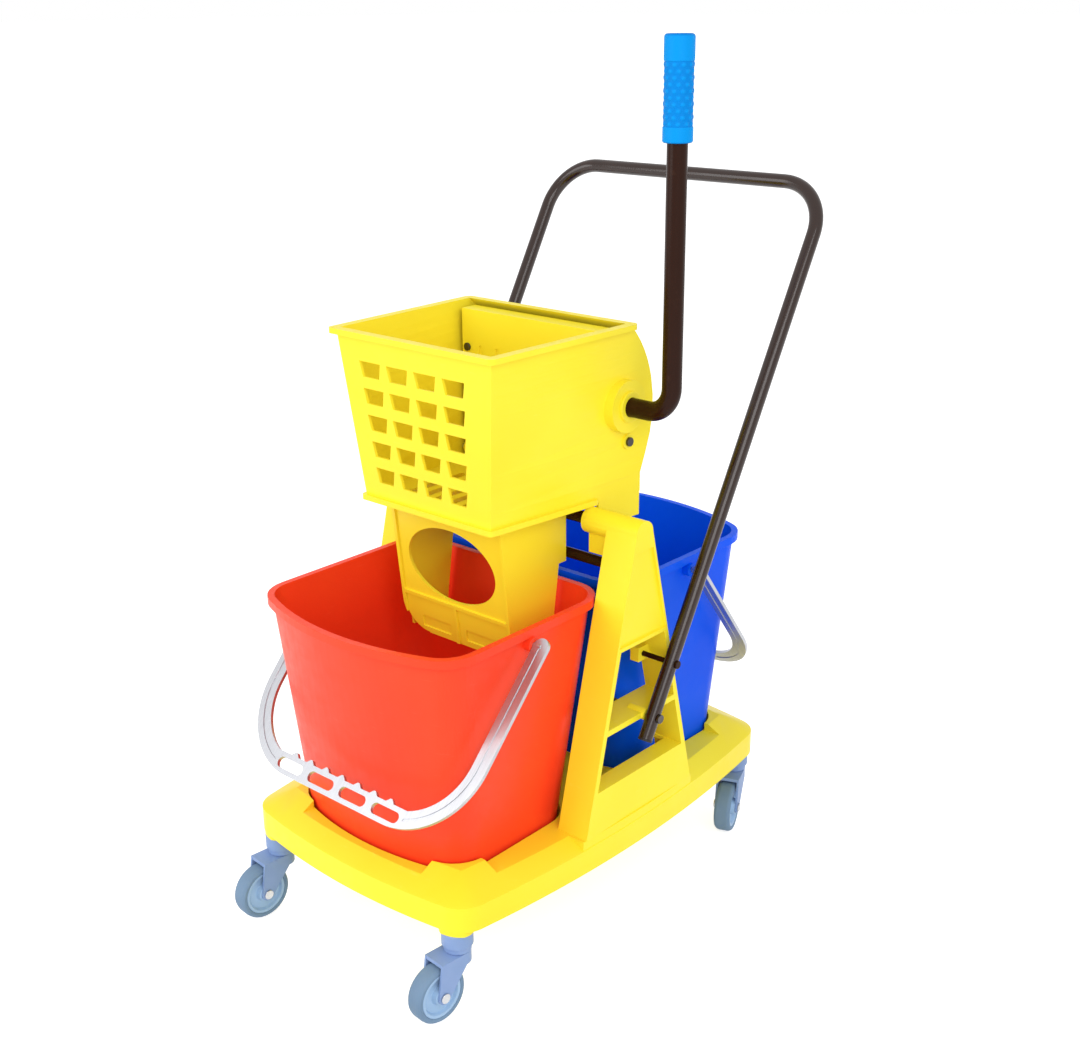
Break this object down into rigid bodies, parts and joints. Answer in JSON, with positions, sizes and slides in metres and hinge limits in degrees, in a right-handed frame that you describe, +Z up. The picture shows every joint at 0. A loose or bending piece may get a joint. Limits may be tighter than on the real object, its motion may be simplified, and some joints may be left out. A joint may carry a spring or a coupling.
{
  "type": "double mop bucket trolley",
  "caption": "Wheeled mop bucket trolley with a front and a rear bucket, a lever-pressed wringer on A-shaped side frames and a bent push handle.",
  "frame": {"origin": "on the floor, midway between the four caster swivels", "axes": "+X to the lever's side, -Y to the front with the red bucket, +Y to the push handle, +Z up"},
  "size_m": [0.493, 0.7542, 1.1423],
  "materials": {
    "yellow_plastic": "satin gloss moulded",
    "red_plastic": "satin gloss moulded",
    "blue_plastic": "satin gloss moulded",
    "brown_tube": "gloss baked coating",
    "dark_steel": "dark plated",
    "bright_steel": "plated",
    "bail_metal": "bright polished",
    "black_plastic": "matte",
    "caster_plastic": "matte moulded",
    "hub_plastic": "matte moulded",
    "tyre_rubber": "matte",
    "grip_rubber": "dimpled soft",
    "cam_iron": "as cast"
  },
  "bodies": {
    "chassis": {"tray": "yellow_plastic", "left_side_frame": "yellow_plastic", "right_side_frame": "yellow_plastic", "upper_cross_tube": "brown_tube", "lower_cross_bar": "brown_tube", "frame_screws": "dark_steel", "push_handle": "brown_tube", "handle_end_plugs": "black_plastic", "handle_bolts": "dark_steel", "handle_stay_rods": "brown_tube", "front_left_caster_stem": "caster_plastic", "front_right_caster_stem": "caster_plastic", "rear_left_caster_stem": "caster_plastic", "rear_right_caster_stem": "caster_plastic"},
    "red_bucket": {"red_bucket": "red_plastic"},
    "red_bail": {"red_bail": "bail_metal"},
    "blue_bucket": {"blue_bucket": "blue_plastic"},
    "blue_bail": {"blue_bail": "bail_metal"},
    "wringer": {"wringer_hopper": "yellow_plastic", "wringer_throat": "yellow_plastic", "throat_screws": "dark_steel", "shaft_bushes": "yellow_plastic", "bush_screws": "dark_steel", "plate_hinge_rod": "bright_steel", "return_spring": "bright_steel"},
    "press_plate": {"press_plate": "yellow_plastic", "plate_bolts": "dark_steel"},
    "lever": {"lever": "brown_tube", "lever_grip": "grip_rubber", "press_cams": "cam_iron", "cam_set_screws": "bright_steel", "shaft_end_cap": "black_plastic"},
    "front_left_caster": {"front_left_caster_fork": "caster_plastic", "front_left_caster_axle": "bright_steel"},
    "front_left_wheel": {"front_left_wheel_hub": "hub_plastic", "front_left_wheel_tyre": "tyre_rubber"},
    "front_right_caster": {"front_right_caster_fork": "caster_plastic", "front_right_caster_axle": "bright_steel"},
    "front_right_wheel": {"front_right_wheel_hub": "hub_plastic", "front_right_wheel_tyre": "tyre_rubber"},
    "rear_left_caster": {"rear_left_caster_fork": "caster_plastic", "rear_left_caster_axle": "bright_steel"},
    "rear_left_wheel": {"rear_left_wheel_hub": "hub_plastic", "rear_left_wheel_tyre": "tyre_rubber"},
    "rear_right_caster": {"rear_right_caster_fork": "caster_plastic", "rear_right_caster_axle": "bright_steel"},
    "rear_right_wheel": {"rear_right_wheel_hub": "hub_plastic", "rear_right_wheel_tyre": "tyre_rubber"}
  },
  "joints": [
    {"name": "front_left_swivel", "type": "hinge", "parent": "chassis", "child": "front_left_caster", "pos_m": [-0.169, -0.298, 0.098], "axis": [0, 0, 1], "continuous": true},
    {"name": "front_left_wheel_spin", "type": "hinge", "parent": "front_left_caster", "child": "front_left_wheel", "pos_m": [-0.17214, -0.33386, 0.0375], "axis": [0.9962, -0.0872, 0], "continuous": true},
    {"name": "front_right_swivel", "type": "hinge", "parent": "chassis", "child": "front_right_caster", "pos_m": [0.169, -0.298, 0.098], "axis": [0, 0, 1], "continuous": true},
    {"name": "front_right_wheel_spin", "type": "hinge", "parent": "front_right_caster", "child": "front_right_wheel", "pos_m": [0.16586, -0.33386, 0.0375], "axis": [0.9962, -0.0872, 0], "continuous": true},
    {"name": "rear_left_swivel", "type": "hinge", "parent": "chassis", "child": "rear_left_caster", "pos_m": [-0.169, 0.298, 0.098], "axis": [0, 0, 1], "continuous": true},
    {"name": "rear_left_wheel_spin", "type": "hinge", "parent": "rear_left_caster", "child": "rear_left_wheel", "pos_m": [-0.16275, 0.26255, 0.0375], "axis": [0.9848, 0.1736, 0], "continuous": true},
    {"name": "rear_right_swivel", "type": "hinge", "parent": "chassis", "child": "rear_right_caster", "pos_m": [0.169, 0.298, 0.098], "axis": [0, 0, 1], "continuous": true},
    {"name": "rear_right_wheel_spin", "type": "hinge", "parent": "rear_right_caster", "child": "rear_right_wheel", "pos_m": [0.1819, 0.26439, 0.0375], "axis": [0.9336, 0.3584, 0], "continuous": true},
    {"name": "red_bucket_lift", "type": "slide", "parent": "chassis", "child": "red_bucket", "axis": [0, 0, 1], "range_m": [0, 0.022]},
    {"name": "blue_bucket_lift", "type": "slide", "parent": "chassis", "child": "blue_bucket", "axis": [0, 0, 1], "range_m": [0, 0.058]},
    {"name": "red_bail_swing", "type": "hinge", "parent": "red_bucket", "child": "red_bail", "pos_m": [0, -0.162, 0.4463], "axis": [-1, 0, 0], "range_deg": [0, 118]},
    {"name": "blue_bail_swing", "type": "hinge", "parent": "blue_bucket", "child": "blue_bail", "pos_m": [0, 0.162, 0.4463], "axis": [1, 0, 0], "range_deg": [0, 140]},
    {"name": "wringer_lift", "type": "slide", "parent": "chassis", "child": "wringer", "axis": [0, 0, 1], "range_m": [0, 0.15]},
    {"name": "lever_pull", "type": "hinge", "parent": "wringer", "child": "lever", "pos_m": [0, 0.057, 0.6923], "axis": [1, 0, 0], "range_deg": [0, 70], "stiffness_Nm_per_rad": 3, "springref_deg": -17.19},
    {"name": "plate_press", "type": "hinge", "parent": "wringer", "child": "press_plate", "pos_m": [0, 0.0395, 0.5923], "axis": [1, 0, 0], "range_deg": [0, 27]}
  ],
  "couplings": [
    {"joint": "plate_press", "follows": "lever_pull", "ratio": 0.385}
  ]
}
